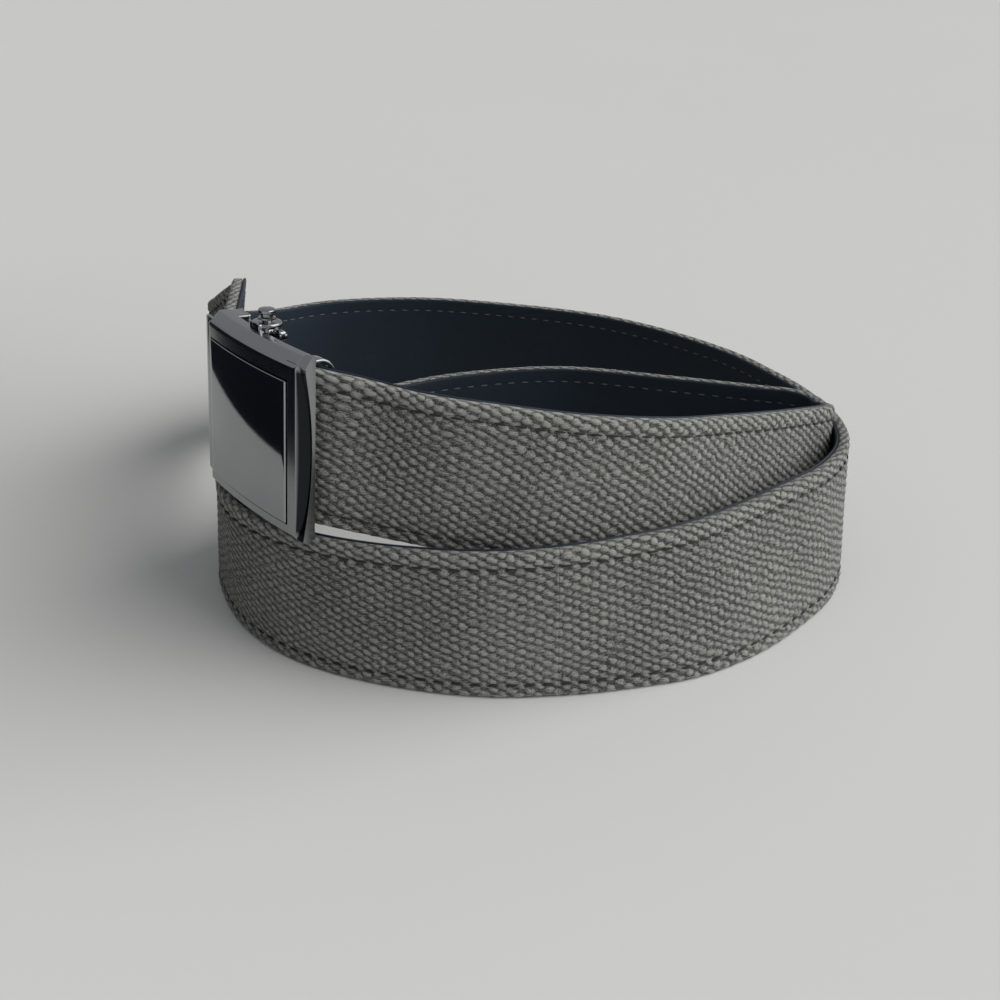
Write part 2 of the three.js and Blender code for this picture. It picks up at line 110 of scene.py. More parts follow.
class StrapPath:

    def __init__(self, rows):
        self.dense = []
        for i in range(len(rows) - 1):
            before = rows[i - 1] if i else [2 * a - b for a, b in zip(rows[0], rows[1])]
            after = rows[i + 2] if i + 2 < len(rows) else [2 * a - b for a, b in zip(rows[-1], rows[-2])]
            for k in range(20):
                t = k / 20
                self.dense.append([0.5 * (2 * b + (c - a) * t + (2 * a - 5 * b + 4 * c - d) * t * t
                                          + (3 * b - a - 3 * c + d) * t ** 3)
                                   for a, b, c, d in zip(before, rows[i], rows[i + 1], after)])
        self.dense.append(list(rows[-1]))
        self.travelled = [0.0]
        for p, q in zip(self.dense, self.dense[1:]):
            self.travelled.append(self.travelled[-1] + math.dist(p[:3], q[:3]))
        self.length = self.travelled[-1]

    def place(self, distance):
        d = min(max(distance, 0.0), self.length)
        i = max(bisect.bisect_left(self.travelled, d), 1)
        share = (d - self.travelled[i - 1]) / (self.travelled[i] - self.travelled[i - 1])
        return [a + (b - a) * share for a, b in zip(self.dense[i - 1], self.dense[i])]

    def station(self, distance):
        x, y, z, lean = self.place(distance)
        a, b = self.place(max(distance - 1, 0)), self.place(min(distance + 1, self.length))
        run = math.hypot(b[0] - a[0], b[1] - a[1])
        heading = Vector(((b[0] - a[0]) / run, (b[1] - a[1]) / run, 0))
        out = Vector((heading.y, -heading.x, 0))
        slope = math.atan2(b[2] - a[2], run)
        lean = math.radians(lean)
        up = (Vector((0, 0, math.cos(slope) * math.cos(lean))) - heading * math.sin(slope) * math.cos(lean)
              - out * math.sin(lean))
        return Vector((x, y, z)), up, out, heading


path = StrapPath(strapRows())
stationCount = round(path.length / strap["step"])
corners = []
for i in range(stationCount + 1):
    foot, up, out, heading = path.station(path.length * i / stationCount)
    for depth in (0, strap["canvas"]):
        corners += [foot - out * depth, foot - out * depth + up * strap["width"]]
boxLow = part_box("strap_canvas")[0]
shift = Vector(boxLow) / mm - Vector([min(c[k] for c in corners) for k in range(3)])
print("strap path", round(path.length, 1), "mm, shift", [round(v, 3) for v in shift])


def toRow(p):
    return (p + shift) * mm


def buckleRow(along, inward, up):
    return toRow(buckleStand @ inBuckle(along, inward, up))


# camera and studio

view = {"focalPixels": 1400.0, "pitch": 25.4, "height": 170.0, "distance": 347.5}
camera = bpy.data.objects.new("camera", bpy.data.cameras.new("camera"))
scene.collection.objects.link(camera)
camera.data.sensor_width = 36.0
camera.data.lens = 36.0 * view["focalPixels"] / 1000
camera.data.clip_start = 0.01
camera.location = toRow(Vector((0, -view["distance"], view["height"])))
camera.rotation_euler = (math.radians(90 - view["pitch"]), 0, 0)
scene.camera = camera

studio = {"floor": (0.62, 0.62, 0.605), "world": 0.41, "sky": (0.95, 0.96, 1.0),
          "sun": 3.25, "sunFrom": (0.87, -0.10, 0.52), "sunSpread": 80, "sunColour": (1, 0.995, 0.97),
          "front": 0.6, "frontFrom": (0.35, -0.7, 0.6), "frontTo": (0.12, -0.2, 0), "frontSize": 0.6}


def softLight(name, kind, power, place, target, **settings):
    light = bpy.data.lights.new(name, kind)
    light.energy = power
    for key, value in settings.items():
        setattr(light, key, value)
    lamp = bpy.data.objects.new(name, light)
    scene.collection.objects.link(lamp)
    lamp.location = place
    lamp.rotation_euler = (Vector(target) - Vector(place)).to_track_quat("-Z", "Y").to_euler()


world = bpy.data.worlds.new("studio")
scene.world = world
world.use_nodes = True
world.node_tree.nodes["Background"].inputs["Color"].default_value = (*studio["sky"], 1)
world.node_tree.nodes["Background"].inputs["Strength"].default_value = studio["world"]
softLight("windowRight", "SUN", studio["sun"], studio["sunFrom"], (0, 0, 0),
          angle=math.radians(studio["sunSpread"]), color=studio["sunColour"])
softLight("frontBox", "AREA", studio["front"], studio["frontFrom"], studio["frontTo"],
          shape="SQUARE", size=studio["frontSize"])
scene.view_settings.view_transform = "Standard"


# shader maths

class Wire:
    def __init__(self, paint, socket):
        self.paint = paint
        self.socket = socket

    def __add__(self, other): return self.paint.calc("ADD", self, other)
    def __radd__(self, other): return self.paint.calc("ADD", other, self)
    def __sub__(self, other): return self.paint.calc("SUBTRACT", self, other)
    def __rsub__(self, other): return self.paint.calc("SUBTRACT", other, self)
    def __mul__(self, other): return self.paint.calc("MULTIPLY", self, other)
    def __truediv__(self, other): return self.paint.calc("DIVIDE", self, other)


class Paint:
    def __init__(self, name):
        self.material = bpy.data.materials.new(name)
        self.material.use_nodes = True
        self.tree = self.material.node_tree
        self.shader = self.tree.nodes["Principled BSDF"]

    def put(self, socket, value):
        if isinstance(value, Wire):
            self.tree.links.new(value.socket, socket)
        elif isinstance(value, (tuple, list)) and len(value) == 3 and socket.type == "RGBA":
            socket.default_value = (*value, 1)
        else:
            socket.default_value = value

    def node(self, kind, settings=None, inputs=None, output=0):
        made = self.tree.nodes.new("ShaderNode" + kind)
        for key, value in (settings or {}).items():
            setattr(made, key, value)
        for key, value in (inputs or {}).items():
            self.put(made.inputs[key], value)
        return Wire(self, made.outputs[output])

    def limit(self, value, low, high):
        return self.calc("MAXIMUM", self.calc("MINIMUM", value, high), low)

    def calc(self, operation, *values):
        return self.node("Math", {"operation": operation}, dict(enumerate(values)))

    def mix(self, factor, a, b):  # sockets 0, 6, 7 and output 2 are the ones for colours
        return self.node("Mix", {"data_type": "RGBA"}, {0: factor, 6: a, 7: b}, 2)

    def noise(self, vector, scale, detail=3.0, roughness=0.5):
        return self.node("TexNoise", {"noise_dimensions": "3D"},
                         {"Vector": vector, "Scale": scale, "Detail": detail, "Roughness": roughness})

    def place(self, vector, scale):
        return self.node("Mapping", None, {"Vector": vector, "Scale": scale})

    def coords(self):
        return self.node("TexCoord", None, None, "Object")

    def bump(self, height, distance, strength=1.0):
        return self.node("Bump", None, {"Height": height, "Distance": distance, "Strength": strength})

    def finish(self, **sockets):
        for key, value in sockets.items():
            self.put(self.shader.inputs[key.replace("_", " ")], value)
        return self.material


# grey woven canvas: staggered oval yarns with loose fibres; painted shade darkens the gaps between the yarns,
# and painted highlights lighten each yarn's upper side and the top hem
# the gap colour is painted shade between the yarns
weave = {"pitch": 4.05, "row": 2.12, "long": 1.24, "high": 0.79, "tilt": 0.22, "relief": 0.34,
         "yarn": (0.285, 0.29, 0.264), "gap": (0.018, 0.019, 0.018), "brightest": 1.6,
         "fibre": 3.2, "fibreScale": (850, 2500, 1), "fuzz": 2.6, "fuzzScale": (3400, 4200, 1),
         "patch": 0.6, "patchScale": 38.0, "wobbleScale": (700, 900, 1), "hemFrom": 31.5, "hemPaintedHighlight": 0.4}


def canvasPaint():
    p = Paint("canvas")
    uv = p.node("UVMap", {"uv_map": "strap"})
    wobble = p.noise(p.place(uv, weave["wobbleScale"]), 1.0, 2.0) - 0.5
    along = p.node("SeparateXYZ", None, {0: uv}, 0) * (1 / mm) + wobble * 0.5
    up = p.node("SeparateXYZ", None, {0: uv}, 1) * (1 / mm) + wobble * 0.3

    def knots(offset):
        a = along / weave["pitch"] + offset
        b = up / weave["row"] + offset
        x = (p.calc("FRACT", a) - 0.5) * weave["pitch"]
        y = (p.calc("FRACT", b) - 0.5) * weave["row"] + x * weave["tilt"]
        spread = (x * x) * (1 / weave["long"] ** 2) + (y * y) * (1 / weave["high"] ** 2)
        number = p.node("CombineXYZ", None, {0: p.calc("FLOOR", a), 1: p.calc("FLOOR", b), 2: offset})
        chance = p.node("TexWhiteNoise", {"noise_dimensions": "3D"}, {"Vector": number})
        dome = p.calc("SQRT", p.calc("MAXIMUM", 1 - spread * (0.85 + chance * 0.3), 0.0))
        # painted shade and highlight: colour falls to the dark gap colour away from each knot's dome, and y *
        # 0.16 paints each knot's upper side lighter
        return dome, dome * (0.72 + chance * 0.4) + y * 0.16

    dome, toneAndPaintedShade = knots(0.0)
    otherDome, otherToneAndPaintedShade = knots(0.5)
    dome = p.calc("MAXIMUM", dome, otherDome)
    toneAndPaintedShade = p.calc("MAXIMUM", toneAndPaintedShade, otherToneAndPaintedShade)
    fibre = p.noise(p.place(uv, weave["fibreScale"]), 1.0, 4.0, 0.75)
    fuzz = p.noise(p.place(uv, weave["fuzzScale"]), 1.0, 2.0, 0.7)
    patch = p.noise(p.coords(), weave["patchScale"], 3.0)
    # painted highlight: the top hem's colour is lightened, as if its upturned fold caught the light from
    # above
    hem = p.limit((up - weave["hemFrom"]) * 1.5, 0.0, 1.0)
    light = (toneAndPaintedShade * (1 + hem * weave["hemPaintedHighlight"]) * 0.85 + (fibre - 0.5) * weave["fibre"]
             + (fuzz - 0.5) * weave["fuzz"] + (patch - 0.5) * weave["patch"])
    colour = p.mix(p.limit(light, 0.0, weave["brightest"]), weave["gap"], weave["yarn"])
    relief = dome * 0.8 + fibre * 0.7 + fuzz * 0.5
    return p.finish(Base_Color=colour, Roughness=0.92, Normal=p.bump(relief, 0.0005, 0.9),
                    Sheen_Weight=0.2, Sheen_Roughness=0.6, Specular_IOR_Level=0.15)


# smooth dark navy leather with a faint grain and scuffs
hide = {"dark": (0.008, 0.0145, 0.0225), "light": (0.0125, 0.0215, 0.0335), "scuff": (0.06, 0.065, 0.075),
        "grain": 2100.0, "rough": 0.56}


def leatherPaint():
    p = Paint("leather")
    spot = p.coords()
    grain = p.node("TexVoronoi", {"feature": "SMOOTH_F1"},
                   {"Vector": spot, "Scale": hide["grain"], "Smoothness": 0.6})
    fine = p.noise(spot, 900.0, 3.0)
    cloud = p.noise(spot, 30.0, 4.0)
    scuff = p.calc("MAXIMUM", p.noise(p.place(spot, (60, 60, 260)), 1.0, 5.0, 0.7) - 0.6, 0.0)
    colour = p.mix(scuff * 0.9, p.mix(cloud, hide["dark"], hide["light"]), hide["scuff"])
    rough = hide["rough"] + (cloud - 0.5) * 0.16 + scuff * 0.5
    return p.finish(Base_Color=colour, Roughness=rough, Specular_IOR_Level=0.25,
                    Normal=p.bump(grain * 0.4 + fine * 0.6, 0.00012, 0.5))


# polished dark metal; a vertex attribute marks the near lip's hollow scoop, which is coloured near black as
# painted shade
metal = {"frame": (0.30, 0.305, 0.312), "plate": (0.335, 0.345, 0.355), "hollowShade": (0.022, 0.023, 0.026)}


def metalPaint(name, colour, rough, smear):
    p = Paint(name)
    spot = p.coords()
    recessShade = p.node("Attribute", {"attribute_name": "recessShade"}, None, "Fac")
    cloud = p.noise(spot, 55.0, 4.0, 0.6)
    hair = p.noise(p.place(spot, (220, 220, 2600)), 1.0, 3.0, 0.6)
    tint = p.mix(cloud, tuple(c * 0.86 for c in colour), tuple(c * 1.1 for c in colour))
    # painted shade: the marked vertices in the scoop take the near-black colour
    tint = p.mix(recessShade, tint, metal["hollowShade"])
    shine = rough + (cloud - 0.5) * smear + (hair - 0.5) * smear * 0.5
    return p.finish(Base_Color=tint, Metallic=1.0, Roughness=shine, Normal=p.bump(hair, 0.00001, 0.12))


def plasticPaint():
    p = Paint("trackPlastic")
    spot = p.coords()
    grain = p.noise(spot, 1500.0, 3.0)
    colour = p.mix(grain, (0.010, 0.011, 0.013), (0.020, 0.021, 0.023))
    return p.finish(Base_Color=colour, Roughness=0.42 + (grain - 0.5) * 0.2,
                    Normal=p.bump(grain, 0.00003, 0.4))


def threadPaint(name, colour):
    p = Paint(name)
    spot = p.coords()
    twist = p.noise(spot, 5200.0, 2.0)
    shade = p.mix(twist, tuple(c * 0.55 for c in colour), colour)
    return p.finish(Base_Color=shade, Roughness=0.7, Normal=p.bump(twist, 0.0001, 0.6))


canvasMaterial = canvasPaint()
leatherMaterial = leatherPaint()
gunmetal = metalPaint("gunmetal", metal["frame"], 0.16, 0.06)
mirrorGunmetal = metalPaint("mirrorGunmetal", metal["plate"], 0.06, 0.02)
print("materials ready")


# mesh helpers

def wrapGrid(bm, countAlong, countRound, place, uvOf=None, markOf=None):
    recessShade = bm.verts.layers.float.new("recessShade") if markOf else None
    made = bmesh.ops.create_grid(bm, x_segments=countAlong, y_segments=countRound, size=1)
    uvLayer = bm.loops.layers.uv.get("strap") or bm.loops.layers.uv.new("strap")
    spots = {}
    for v in made["verts"]:
        i = round((v.co.x + 1) / 2 * countAlong)
        j = round((v.co.y + 1) / 2 * countRound)
        spots[v] = (i, j)
    faces = {f for v in made["verts"] for f in v.link_faces}
    if uvOf:
        for f in faces:
            for loop in f.loops:
                loop[uvLayer].uv = uvOf(*spots[loop.vert])
    for v, (i, j) in spots.items():
        v.co = place(i, j if j < countRound else 0)
        if markOf:
            v[recessShade] = markOf(i, j % countRound)
    return made["verts"]


def closeUp(bm):
    bmesh.ops.remove_doubles(bm, verts=bm.verts, dist=1e-7)
    edges = [e for e in bm.edges if e.is_boundary]
    if edges:
        bmesh.ops.holes_fill(bm, edges=edges, sides=0)
    bmesh.ops.recalc_face_normals(bm, faces=bm.faces)


def meshObject(name, bm, material, body, replaced=(), sharp=None):
    data = bpy.data.meshes.new(name)
    if sharp is not None:
        for e in bm.edges:
            if len(e.link_faces) == 2 and e.calc_face_angle(0) > math.radians(sharp):
                e.smooth = False
    for f in bm.faces:
        f.smooth = True
    bm.to_mesh(data)
    bm.free()
    made = bpy.data.objects.new(name, data)
    scene.collection.objects.link(made)
    data.materials.append(material)
    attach(made, body)
    if replaced:
        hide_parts(*replaced)
    return made


# strap

stitch = {"pitch": 4.0, "length": 2.7, "thread": 0.27, "fromTop": 3.6, "fromBottom": 3.2, "groove": 0.45,
          "pinch": 0.16, "fromEnd": 4.0, "dark": (0.014, 0.015, 0.016), "pale": (0.085, 0.095, 0.115)}
stitchHeights = (stitch["fromBottom"], strap["width"] - stitch["fromTop"])


def stray(s, h):  # how far the knots stand from their even places
    return (s + 0.75 * noise.noise(Vector((s / 4.5, h / 3.5, 1.7))),
            h + 0.6 * noise.noise(Vector((s / 4.5, h / 3.5, 6.3))))


def domeAt(s, h):
    s, h = stray(s, h)
    best = 0.0
    for offset in (0.0, 0.5):
        x = ((s / weave["pitch"] + offset) % 1 - 0.5) * weave["pitch"]
        y = ((h / weave["row"] + offset) % 1 - 0.5) * weave["row"] + x * weave["tilt"]
        best = max(best, 1 - (x / weave["long"]) ** 2 - (y / weave["high"]) ** 2)
    return math.sqrt(best)


def grooveAt(h, width=1.1):
    return max(0.0, 1 - min(abs(h - line) for line in stitchHeights) / width)


def canvasSection(step):  # each point: depth, height, share of the relief
    r, back, high = strap["edge"], strap["canvas"] + 0.28, strap["width"]
    low, top = 0.12, high - 0.05
    face = round((top - low - 2 * r) / step)
    points = [(0.0, low + r + (top - low - 2 * r) * k / face, 1.0) for k in range(face + 1)]
    for k in range(1, 6):
        a = math.pi / 2 * k / 5
        points.append((r - r * math.cos(a), top - r + r * math.sin(a), 1 - k / 7))
    fold = strap["fold"]
    points += [(fold - 0.3, top - 0.02, 0.1), (fold, top - 0.3, 0.0), (fold, top - 1.2, 0.0),
               (back, top - 1.5, 0.0), (back, high / 2, 0.0), (back, low + 1.5, 0.0),
               (fold, low + 1.2, 0.0), (fold, low + 0.3, 0.0), (fold - 0.3, low + 0.02, 0.1)]
    for k in range(5):
        a = math.pi / 2 * (1 - k / 5)
        points.append((r - r * math.cos(a), low + r - r * math.sin(a), 1 - (5 - k) / 7))
    return points


def strapLayer(name, section, start, end, step, relief, material, node):
    bm = bmesh.new()
    count = round((end - start) / step)
    stations = [path.station(start + (end - start) * i / count) for i in range(count + 1)]
    girth = [0.0]
    for a, b in zip(section, section[1:] + section[:1]):
        girth.append(girth[-1] + math.dist(a[:2], b[:2]))

    def place(i, j):
        foot, up, out, heading = stations[i]
        depth, h, weight = section[j]
        s = start + (end - start) * i / count
        return toRow(foot + up * h - out * (depth - relief(s, h, weight)))

    def uvOf(i, j):
        s, h = stray(start + (end - start) * i / count, section[0][1] + girth[j])
        return s * mm, h * mm

    wrapGrid(bm, count, len(section), place, uvOf)
    closeUp(bm)
    return meshObject(name, bm, material, "belt", (node,))


def canvasRelief(s, h, weight):
    if not weight:
        return 0.0
    hem = 0.12 * math.exp(-((h - 33.4) / 1.3) ** 2) + 0.08 * math.exp(-((h - 1.4) / 1.2) ** 2)
    soft = 0.12 * noise.noise(Vector((s / 17, h / 11, 3.1)))
    return (weave["relief"] * weight * (domeAt(s, h) - 0.45) + hem + soft
            - stitch["groove"] * grooveAt(h) * weight)


canvasMesh = {"along": 0.42, "across": 0.42, "parts": 4}
for k in range(canvasMesh["parts"]):
    a, b = [path.length * n / canvasMesh["parts"] for n in (k, k + 1)]
    strapLayer(f"strapCanvas{k + 1}", canvasSection(canvasMesh["across"]), a, b, canvasMesh["along"],
               canvasRelief, canvasMaterial, "strap_canvas")


def leatherSection():
    front, back, r = strap["canvas"] + 0.32, strap["thick"], strap["leatherEdge"]
    low, top = 0.0, strap["width"]
    fold = strap["fold"] + 0.1
    points = [(front, low + 1.8, 0), (front, top - 1.8, 0), (fold, top - 1.5, 0), (fold, top - 0.5, 0),
              (fold + 0.2, top - 0.15, 0)]
    for k in range(5):
        a = math.pi / 2 * k / 4
        points.append((back - r + r * math.sin(a), top - r + r * math.cos(a), 0.2))
    heights = [top - r - 0.6, top - 2.4, top - 3.1, top - 3.6, top - 4.1, top - 4.9, top - 8, top - 14,
               top / 2, 14, 8, 4.6, 3.7, 3.2, 2.7, 1.9, 1.1]  # closer together at the stitches
    points += [(back, h, 1.0) for h in heights]
    for k in range(5):
        a = math.pi / 2 * (1 - k / 4)
        points.append((back - r + r * math.sin(a), low + r - r * math.cos(a), 0.2))
    return points + [(fold + 0.2, low + 0.15, 0), (fold, low + 0.5, 0), (fold, low + 1.5, 0)]


def leatherRelief(s, h, weight):
    if weight < 1:
        return 0.0
    wave = 0.07 * noise.noise(Vector((s / 23, h / 14, 9.7)))
    pinch = stitch["pinch"] * grooveAt(h, 0.9) * (0.75 + 0.25 * math.cos(2 * math.pi * s / stitch["pitch"]))
    return wave + pinch


strapLayer("strapLeather", leatherSection(), 0, path.length, 1.0, leatherRelief, leatherMaterial,
           "strap_leather")
print("strap ready")


def stitchRows(name, depth, side, length, thread, offset, material):
    count = int((path.length - 2 * stitch["fromEnd"]) / stitch["pitch"])
    bm = bmesh.new()
    made = bmesh.ops.create_uvsphere(bm, u_segments=8, v_segments=5, radius=1.0)
    bmesh.ops.rotate(bm, verts=made["verts"], cent=(0, 0, 0),
                     matrix=Matrix.Rotation(math.radians(90), 3, "Y"))
    data = bpy.data.meshes.new("row")
    bm.to_mesh(data)
    bm.free()
    bm = bmesh.new()
    bm.from_mesh(data)
    bpy.data.meshes.remove(data)
    one = [v.co.copy() for v in bm.verts]
    while len(bm.verts) < len(one) * count * len(stitchHeights):  # the row doubles until it is long enough
        data = bpy.data.meshes.new("row")
        bm.to_mesh(data)
        bm.from_mesh(data)
        bpy.data.meshes.remove(data)
    bm.verts.ensure_lookup_table()
    bmesh.ops.delete(bm, geom=bm.verts[len(one) * count * len(stitchHeights):], context="VERTS")
    bm.verts.ensure_lookup_table()
    for k in range(count * len(stitchHeights)):
        height = stitchHeights[k % len(stitchHeights)]
        s = stitch["fromEnd"] + (k // len(stitchHeights) + 0.5) * stitch["pitch"] + offset
        foot, up, out, heading = path.station(s)
        along = (path.station(s + 0.5)[0] - path.station(s - 0.5)[0]).normalized()
        normal = out * side
        across = along.cross(normal)
        centre = foot + up * height - out * depth
        for n, co in enumerate(one):
            spot = centre + along * (co.x * length / 2) + across * (co.y * thread) + normal * (co.z * thread)
            bm.verts[k * len(one) + n].co = toRow(spot)
    return meshObject(name, bm, material, "belt")


stitchRows("outerStitches", 0.12, 1, stitch["length"], stitch["thread"], 0.0,
           threadPaint("threadDark", stitch["dark"]))
stitchRows("innerStitches", strap["thick"] - 0.08, -1, stitch["length"] * 0.75, stitch["thread"] * 0.85, 1.0,
           threadPaint("threadPale", stitch["pale"]))
print("stitches ready")

# buckle

shell = {"border": {"far": 1.6, "near": 5.4, "top": 5.4, "bottom": 2.2}, "pocket": 0.9, "bevel": 2.4,
         "round": 0.45, "flangeFar": 5.2, "flangeNear": 4.4, "flangeBottom": 4.8, "lipLength": 2.8,
         "lipDepth": 3.4, "flare": 0.5, "scoopLength": 2.6, "scoopDepth": 2.3}
bar = {"length": 6.0, "thick": 0.8, "clear": 0.5}
lip = {"length": 3.2, "under": 1.0, "ends": 1.5}
pivot = {"along": farEnd + 17.2, "depth": 6.6, "ear": 3.2, "earThick": 1.2, "earLow": buckle["height"] + 0.4,
         "root": 2.2, "rootFrom": 3.5, "rootTo": 5.2}
guide = {"depth": 10.9, "top": 38.1, "thick": 1.1, "radius": 4.2, "reach": 12.0, "length": 3.5,
         "fromNear": 3.2, "edge": 0.28}
plate = {"gap": 0.25, "proud": 0.42, "back": 0.62}


def spread(a, b, count):
    return [a + (b - a) * k / count for k in range(count + 1)]


def buckleShell():
    top, border = buckle["height"], shell["border"]
    pocketFar, pocketNear = farEnd + border["far"], nearEnd - border["near"]
    scoop = nearEnd - shell["scoopLength"]
    alongs = ([farEnd, farEnd + 0.12, farEnd + 0.4] + spread(farEnd + 0.8, pocketFar - 0.06, 2)
              + spread(pocketFar + 0.06, pocketNear - 0.06, 32) + spread(pocketNear + 0.06, scoop - 0.1, 6)
              + spread(scoop, nearEnd - 0.35, 14) + [nearEnd - 0.15, nearEnd - 0.04, nearEnd])
    pocketLow, pocketHigh = border["bottom"], top - border["top"]
    r = shell["round"]
    frontHeights = ([r + 0.25, pocketLow - 0.25, pocketLow - 0.05, pocketLow + 0.05]
                    + spread(pocketLow + 1, pocketHigh - 1, 14) + [pocketHigh - 0.05, pocketHigh + 0.05]
                    + spread(pocketHigh + 0.8, top - shell["bevel"] - 0.2, 4))
    # each point: kind, inward, up
    ring = [("flange", 0, buckle["flange"]), ("flange", 0, 0.25), ("flange", -0.25, 0), ("fixed", 1.6, 0)]
    for k in range(5):
        a = math.pi / 2 * k / 4
        ring.append(("front", r - r * math.sin(a), r - r * math.cos(a)))
    ring += [("front", 0, h) for h in frontHeights]
    ring += [("front", 0.1, top - shell["bevel"] + 0.05), ("front", 0.25, top - shell["bevel"] + 0.22)]
    ring += [("bevel", shell["bevel"] - 0.2, top - 0.2), ("bevel", shell["bevel"], top - 0.06),
             ("bevel", shell["bevel"] + 0.25, top)]
    ring += [("flange", -0.25, top), ("flange", 0, top - 0.25), ("flange", 0, top - buckle["flange"]),
             ("inside", 0, top - buckle["flange"]), ("inside", 0, top / 2), ("inside", 0, buckle["flange"])]

    def place(i, j):
        along = alongs[i]
        kind, inward, up = ring[j]
        share = min(max((along - (nearEnd - shell["lipLength"] - 0.4)) / 0.8, 0), 1)
        narrowing = (shell["flangeNear"] - shell["flangeFar"]) * (along - farEnd) / buckle["length"]
        flange = shell["flangeFar"] + narrowing
        flange += (shell["lipDepth"] - flange) * share
        if up < top / 2 and not share:
            flange = min(flange, shell["flangeBottom"])
        if kind == "flange":
            inward += flange
        if kind == "inside":
            inward = buckle["plate"] + (flange - 0.15 - buckle["plate"]) * share
        if kind == "front" and pocketFar < along < pocketNear and pocketLow < up < pocketHigh:
            inward += shell["pocket"]
        if along > scoop and kind in ("front", "bevel"):
            t = (along - scoop) / shell["scoopLength"]
            middle = 1 - (2 * min(max(up / top, 0), 1) - 1) ** 2
            depth = (0.15 + shell["scoopDepth"] * middle) * math.sqrt(max(0, 1 - (1 - t) ** 2))
            inward = max(inward, depth) if kind == "front" else inward
        if along < farEnd + 0.5 and kind in ("front", "bevel"):
            inward += 0.35 * (1 - (along - farEnd) / 0.5) ** 2
        if up > top / 2:
            up += shell["flare"] * share * (1 if up > top - 3 else 0)
        else:
            up -= 0.2 * share * (1 if up < 2 else 0)
        return buckleRow(along, inward, up)

    # painted shade: the scoop's front faces are marked to be coloured near black
    def markOf(i, j):  # 1 in the scoop, which is dark
        kind, inward, up = ring[j]
        return float(scoop + 0.05 < alongs[i] < nearEnd - 0.1 and kind == "front"
                     and 1 < up < top - shell["bevel"] - 0.3)

    bm = bmesh.new()
    wrapGrid(bm, len(alongs) - 1, len(ring), place, markOf=markOf)
    closeUp(bm)
    return bm


def roundedBlock(bm, low, high, bevel, segments):
    bmesh.ops.create_cube(bm, size=1)
    for v in bm.verts:
        v.co = Vector([low[k] + (high[k] - low[k]) * (v.co[k] + 0.5) for k in range(3)])
    bmesh.ops.bevel(bm, geom=bm.edges[:], offset=bevel, segments=segments, profile=0.5, affect="EDGES",
                    material=-1, clamp_overlap=True)


def arcBlock(bm, alongFrom, alongTo, inFrom, inTo, low, high, bevel=0.25, segments=3, every=1.2):
    block = bmesh.new()
    roundedBlock(block, (alongFrom, inFrom, low), (alongTo, inTo, high), bevel, segments)
    cuts = max(1, round((alongTo - alongFrom) / every))
    for k in range(1, cuts):
        x = alongFrom + bevel + (alongTo - alongFrom - 2 * bevel) * k / cuts
        bmesh.ops.bisect_plane(block, geom=block.verts[:] + block.edges[:] + block.faces[:],
                               plane_co=(x, 0, 0), plane_no=(1, 0, 0))
    for v in block.verts:
        v.co = buckleRow(v.co.x, v.co.y, v.co.z)
    addTo(bm, block)


def addTo(bm, other):
    data = bpy.data.meshes.new("part")
    other.to_mesh(data)
    other.free()
    bm.from_mesh(data)
    bpy.data.meshes.remove(data)


def upright(bm, profile, segments=40):  # turns a profile of radius and height about the pin
    part = bmesh.new()
    verts = [part.verts.new((r, 0, z)) for r, z in profile]
    edges = [part.edges.new(pair) for pair in zip(verts, verts[1:])]
    bmesh.ops.spin(part, geom=verts + edges, cent=(0, 0, 0), axis=(0, 0, 1), angle=2 * math.pi,
                   steps=segments, use_merge=True)
    bmesh.ops.remove_doubles(part, verts=part.verts, dist=1e-6)
    bmesh.ops.recalc_face_normals(part, faces=part.faces)
    foot = inBuckle(pivot["along"], pivot["depth"], 0)
    for v in part.verts:
        v.co = toRow(buckleStand @ (Vector((foot.x, foot.y, 0)) + v.co))
    addTo(bm, part)


def strapGuide(bm):
    to = nearEnd - guide["fromNear"]
    start = to - guide["length"]
    way = [(guide["depth"], guide["top"] - guide["reach"], (1, 0))]
    r = guide["radius"]
    for k in range(13):
        a = math.pi / 2 * k / 12
        side, up = math.cos(a), math.sin(a)
        way.append((guide["depth"] - r + r * side, guide["top"] - r + r * up, (side, up)))
    way.append((buckle["plate"] / 2, guide["top"], (0, 1)))
    b, t = guide["edge"], guide["thick"]
    loop = [(start + b, 0), (to - b, 0), (to - b * 0.3, b * 0.3), (to, b), (to, t - b),
            (to - b * 0.3, t - b * 0.3), (to - b, t), (start + b, t), (start + b * 0.3, t - b * 0.3),
            (start, t - b), (start, b), (start + b * 0.3, b * 0.3)]

    def place(i, j):
        inward, up, normal = way[i]
        along, down = loop[j]
        return buckleRow(along, inward - normal[0] * down, up - normal[1] * down)

    part = bmesh.new()
    wrapGrid(part, len(way) - 1, len(loop), place)
    closeUp(part)
    addTo(bm, part)


bm = buckleShell()
top = buckle["height"]
barFrom = buckle["strapDepth"] + strap["thick"] + bar["clear"] + 3 * strap["gap"]
barTo = barFrom + bar["thick"]
arcBlock(bm, farEnd, farEnd + bar["length"], barFrom, barTo, 0.5, top, 0.2)
arcBlock(bm, farEnd, farEnd + bar["length"], 0.8, barTo, 0.5, buckle["flange"], 0.15)
arcBlock(bm, farEnd, farEnd + bar["length"], 3.0, barTo, top - buckle["flange"], top - 0.05, 0.2)
strapGuide(bm)
arcBlock(bm, farEnd - lip["length"], farEnd + lip["under"], 0.5, buckle["plate"] - 0.05,
         lip["ends"], top - lip["ends"], 0.5, 4)
px, ear, earLow = pivot["along"], pivot["ear"], pivot["earLow"]
earHigh = earLow + pivot["earThick"]
arcBlock(bm, px - pivot["root"], px + pivot["root"], pivot["rootFrom"], pivot["rootTo"],
         top - buckle["flange"], earHigh - 0.05, 0.35)
